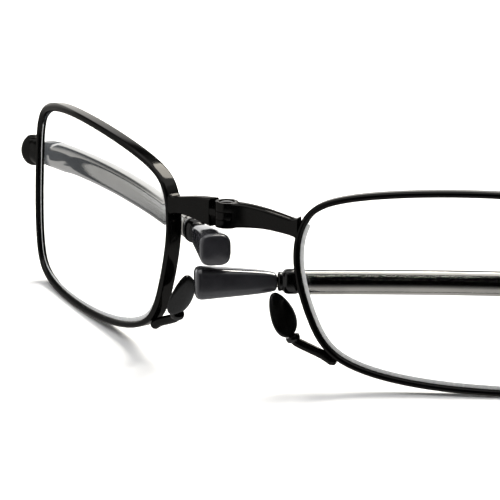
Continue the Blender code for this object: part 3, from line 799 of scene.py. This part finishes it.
# --------------------------------------------------------------- the temples
def arc_ring(x, section):
    """A section set square to the temple's arc at x, round the hinge centre."""
    sine = (x - ARC_APEX_X) / ARC_RADIUS
    cosine = math.sqrt(1 - sine ** 2)
    centre_y = ARC_APEX_Y - ARC_RADIUS + ARC_RADIUS * cosine
    return [(x + s * sine - TEMPLE_HINGE_X, centre_y + s * cosine - TEMPLE_HINGE_Y,
             up - TEMPLE_DROP) for s, up in section]


def stations(start, end, count):
    """Evenly spaced places from start to end, both included."""
    return [start + (end - start) * i / (count - 1) for i in range(count)]


def make_knuckle(side):
    """The hinge leaf and the cap that closes the end of the tube."""
    matrix = temple_matrix(side)
    half_height = KNUCKLE_HALF_HEIGHT
    knuckle = raw_object(side + "_knuckle_leaf", disc(KNUCKLE_RADIUS, -half_height, half_height),
                         matrix)
    web = box((-WEB_HALF_WIDTH, WEB_START, -half_height),
              (WEB_HALF_WIDTH, WEB_REACH, half_height))
    combine(knuckle, web, matrix, "UNION")
    section = rounded_rectangle(CAP_THICKNESS, CAP_HEIGHT, CAP_CORNER)
    cap = loft([arc_ring(x, section) for x in (TUBE_START_X, TUBE_START_X + CAP_LENGTH)])
    combine(knuckle, cap, matrix, "UNION")
    combine(knuckle, disc(KNUCKLE_BORE_RADIUS, -half_height - OVERCUT, half_height + OVERCUT),
            matrix, "DIFFERENCE")
    soften(knuckle, 0.12)
    finish_piece(knuckle, BLACK_TRIM, side + "_temple", side + "_knuckle")


def make_tube(side):
    """The temple tube and the stepped ferrule on its open end."""
    matrix = temple_matrix(side)
    outer = crowned(TUBE_THICKNESS, TUBE_HEIGHT, TUBE_CROWN)
    lip = crowned(TUBE_THICKNESS - 2 * TUBE_LIP, TUBE_HEIGHT - 2 * TUBE_LIP, TUBE_CROWN)
    bore = crowned(TUBE_BORE_THICKNESS, TUBE_BORE_HEIGHT, BORE_POWER)
    outline = [(TUBE_START_X, lip), (TUBE_START_X - TUBE_LIP, outer)]
    outline += [(x, outer) for x in stations(TUBE_START_X - 1.0, TUBE_END_X + 1.0, 60)]
    outline += [(TUBE_END_X + TUBE_LIP, outer), (TUBE_END_X, lip)]
    outline += [(x, bore) for x in stations(TUBE_END_X, TUBE_START_X - 1.5, 24)]
    made = raw_object(side + "_tube_sleeve",
                      loft([arc_ring(x, section) for x, section in outline]), matrix)
    add_run_uv(made, len(outer))
    finish_piece(made, STEEL, side + "_temple", side + "_tube", sharp=50)

    rings = [arc_ring(x, crowned(TUBE_THICKNESS + swell, TUBE_HEIGHT + swell, FERRULE_POWER))
             for x, swell in FERRULE_PROFILE]
    rings += [arc_ring(x, bore) for x in (FERRULE_END_X, FERRULE_START_X)]
    made = raw_object(side + "_ferrule_ring", loft(rings, closed=True), matrix)
    finish_piece(made, BLACK_TRIM, side + "_temple", side + "_ferrule", sharp=50)


def make_slider(side):
    """The inner rod and the plastic tip on its end."""
    matrix = temple_matrix(side)
    section = crowned(ROD_THICKNESS, ROD_HEIGHT, BORE_POWER, ROD_FACETS)
    places = stations(ROD_INNER_X, ROD_OUTER_X, 60)
    made = raw_object(side + "_inner_rod", loft([arc_ring(x, section) for x in places]), matrix)
    add_run_uv(made, len(section))
    finish_piece(made, STEEL, side + "_slider", side + "_rod", sharp=50)

    bore = crowned(TUBE_BORE_THICKNESS, TUBE_BORE_HEIGHT - TIP_SOCKET_TAPER, BORE_POWER)
    rings = [arc_ring(x, bore) for x in (TIP_SOCKET_X, TIP_NECK_X)]
    for fraction, thickness, height in smooth_run(TIP_PROFILE, 8):
        x = TIP_NECK_X + (TIP_END_X - TIP_NECK_X) * fraction
        rings.append(arc_ring(x, crowned(thickness, height, TIP_POWER)))
    made = raw_object(side + "_tip_moulding", loft(list(reversed(rings))), matrix)
    finish_piece(made, TIP_PLASTIC, side + "_slider", side + "_tip", sharp=50)


# ------------------------------------------------------------- the nose pads
def pad_matrix():
    """Columns: across the pad, toward the nose, and along it downward."""
    toward_nose = Vector((-math.cos(PAD_SPLAY), math.sin(PAD_SPLAY), 0.0))
    toward_nose -= toward_nose.dot(PAD_LONG_AXIS) * PAD_LONG_AXIS
    toward_nose.normalize()
    across = toward_nose.cross(PAD_LONG_AXIS)
    turn = Matrix((across, toward_nose, PAD_LONG_AXIS)).transposed().to_4x4()
    return Matrix.Translation(PAD_CENTRE) @ turn


def make_pad(side):
    """The nose pad with its stem, the socket that holds it and the wire arm."""
    half = half_matrix(side)
    matrix = half @ pad_matrix()
    rings = []
    for i in range(1, PAD_RINGS):
        angle = math.pi * i / PAD_RINGS
        size = math.sin(angle) * (1 - PAD_TAPER * math.cos(angle))
        ring = []
        for j in range(PAD_FACETS):
            turn = 2 * math.pi * j / PAD_FACETS
            bulge = PAD_NOSE_DOME if math.sin(turn) > 0 else PAD_OUTER_DOME
            ring.append((PAD_HALF_WIDTH * size * math.cos(turn),
                         bulge * size ** PAD_CROWN * math.sin(turn),
                         -PAD_HALF_LENGTH * math.cos(angle)))
        rings.append(ring)
    pad = raw_object(side + "_pad_leaf", loft(rings), matrix)
    stem = turned([(STEM_RADIUS, 0.5 * PAD_HALF_LENGTH), (STEM_RADIUS, STEM_END)], steps=32)
    combine(pad, stem, matrix, "UNION")
    finish_piece(pad, PAD_PLASTIC, side + "_pad", side + "_nose_pad", sharp=60)

    profile = [(0.3, CUP_END), (CUP_RADIUS - 0.22, CUP_END - 0.05),
               (CUP_RADIUS - 0.06, CUP_END - 0.2), (CUP_RADIUS, CUP_END - 0.4),
               (CUP_RADIUS, CUP_START + 0.1), (CUP_RADIUS - 0.08, CUP_START),
               (CUP_BORE_RADIUS, CUP_START), (CUP_BORE_RADIUS, CUP_END - 0.25)]
    cup = raw_object(side + "_pad_socket", turned(profile, steps=40), matrix)
    finish_piece(cup, BLACK_TRIM, side + "_half", side + "_pad_cup")

    run = smooth_run(ARM_PATH, 10)
    rings = []
    for i, point in enumerate(run):
        along = (run[min(i + 1, len(run) - 1)] - run[max(i - 1, 0)]).normalized()
        across = along.cross(Vector((0, 1, 0))).normalized()
        upright = along.cross(across)
        from_end = 1 - i / (len(run) - 1)
        radius = ARM_RADIUS * math.sqrt(min(1.0, ARM_END_AREA + ARM_END_GROWTH * from_end))
        turns = [2 * math.pi * k / ARM_FACETS for k in range(ARM_FACETS)]
        rings.append([point + radius * (across * math.cos(a) + upright * math.sin(a))
                      for a in turns])
    arm = raw_object(side + "_pad_arm_wire", loft(rings), half)
    finish_piece(arm, GUNMETAL, side + "_half", side + "_pad_arm", sharp=60)


for side in SIDES:
    make_rim(side)
    make_lens(side)
    make_end_block(side)
    make_knuckle(side)
    make_tube(side)
    make_slider(side)
    make_pad(side)
make_bridge()


# ------------------------------------------------------- floor, light, camera
def make_floor():
    """A pale matt table top, far wider than the object and unseen in its gloss."""
    made, node, surface = new_material("pale_table")
    place = node("ShaderNodeTexCoord").outputs["Object"]
    grain = node("ShaderNodeTexNoise", Vector=place, Scale=90.0, Detail=3.0)
    shader = node("ShaderNodeBsdfPrincipled",
                  Base_Color=ramp(node, grain.outputs["Fac"], [(0.3, (0.9, 0.9, 0.9)),
                                                              (0.7, (0.92, 0.92, 0.92))]),
                  Roughness=0.6, Specular_IOR_Level=0.2)
    surface(shader.outputs["BSDF"])
    mesh = bpy.data.meshes.new("floor")
    corners = [(FLOOR_REACH * x, FLOOR_REACH * y, 0)
               for x, y in ((-1, -1), (1, -1), (1, 1), (-1, 1))]
    mesh.from_pydata(corners, [], [(0, 1, 2, 3)])
    mesh.materials.append(made)
    floor = bpy.data.objects.new("floor", mesh)
    bpy.context.scene.collection.objects.link(floor)
    floor.visible_glossy = False


def area_light(name, place, aim, size, power, colour=(1, 1, 1)):
    """A soft rectangular lamp at place, pointing at aim, in metres and watts."""
    lamp = bpy.data.lights.new(name, "AREA")
    lamp.shape = "RECTANGLE"
    lamp.size, lamp.size_y = size
    lamp.energy = power
    lamp.color = colour
    made = bpy.data.objects.new(name, lamp)
    bpy.context.scene.collection.objects.link(made)
    made.location = place
    made.rotation_euler = (Vector(aim) - Vector(place)).to_track_quat("-Z", "Y").to_euler()


def make_world():
    """Studio surroundings: light above and behind, a dark belt at eye level."""
    world = bpy.data.worlds.new("studio")
    bpy.context.scene.world = world
    world.use_nodes = True
    tree = world.node_tree
    tree.nodes.clear()
    place = tree.nodes.new("ShaderNodeTexCoord")
    split = tree.nodes.new("ShaderNodeSeparateXYZ")
    tree.links.new(place.outputs["Generated"], split.inputs[0])

    def fade(axis, start, end, strength):
        """Rises from 0 at start to strength at end, along one axis."""
        added = tree.nodes.new("ShaderNodeMapRange")
        added.interpolation_type = "SMOOTHSTEP"
        for key, value in (("From Min", start), ("From Max", end), ("To Max", strength)):
            added.inputs[key].default_value = value
        tree.links.new(split.outputs[axis], added.inputs["Value"])
        return added.outputs["Result"]

    def join(operation, first, second):
        added = tree.nodes.new("ShaderNodeMath")
        added.operation = operation
        tree.links.new(first, added.inputs[0])
        tree.links.new(second, added.inputs[1])
        return added.outputs["Value"]

    above = join("MULTIPLY", fade("Y", -0.8, 0.3, 1.2), fade("Z", 0.45, 0.7, 1.0))
    left = join("MULTIPLY", fade("X", -0.3, -0.7, 1.0), fade("Z", 0.75, 0.45, 1.0))
    behind = join("MULTIPLY", fade("Y", 0.7, 0.92, 2.0),
                  join("MULTIPLY", fade("Z", 0.35, 0.28, 1.0), fade("Z", -0.2, -0.05, 1.0)))
    below = fade("Z", -0.22, -0.6, 1.15)
    total = join("ADD", join("ADD", above, behind), join("MAXIMUM", below, left))
    background = tree.nodes.new("ShaderNodeBackground")
    tree.links.new(total, background.inputs["Strength"])
    output = tree.nodes.new("ShaderNodeOutputWorld")
    tree.links.new(background.outputs["Background"], output.inputs["Surface"])


def make_camera():
    """A long lens from slightly right of centre, looking down a little."""
    back = Vector((math.sin(VIEW_YAW) * math.cos(VIEW_ELEVATION),
                   -math.cos(VIEW_YAW) * math.cos(VIEW_ELEVATION), math.sin(VIEW_ELEVATION)))
    level = Vector((math.cos(VIEW_YAW), math.sin(VIEW_YAW), 0.0))
    rise = back.cross(level)
    right = math.cos(VIEW_ROLL) * level + math.sin(VIEW_ROLL) * rise
    up = -math.sin(VIEW_ROLL) * level + math.cos(VIEW_ROLL) * rise
    camera = bpy.data.cameras.new("camera")
    camera.lens = VIEW_LENS
    camera.sensor_width = VIEW_SENSOR
    camera.clip_start, camera.clip_end = 0.05, 20.0
    made = bpy.data.objects.new("camera", camera)
    bpy.context.scene.collection.objects.link(made)
    place = BRIDGE_HINGE + (VIEW_RIGHT * right + VIEW_UP * up + VIEW_DISTANCE * back) * MM
    turn = Matrix((right, up, back)).transposed().to_4x4()
    made.matrix_world = Matrix.Translation(place) @ turn
    bpy.context.scene.camera = made


make_floor()
make_world()
area_light("overhead", (0.0, 0.15, 0.75), (0, 0.05, 0), (1.2, 0.9), 4.0)
area_light("key", (0.2, 0.52, 0.6), (0, 0, 0), (0.4, 0.38), 12.0, (1.0, 0.97, 0.9))
make_camera()
bpy.context.scene.view_settings.view_transform = "Standard"
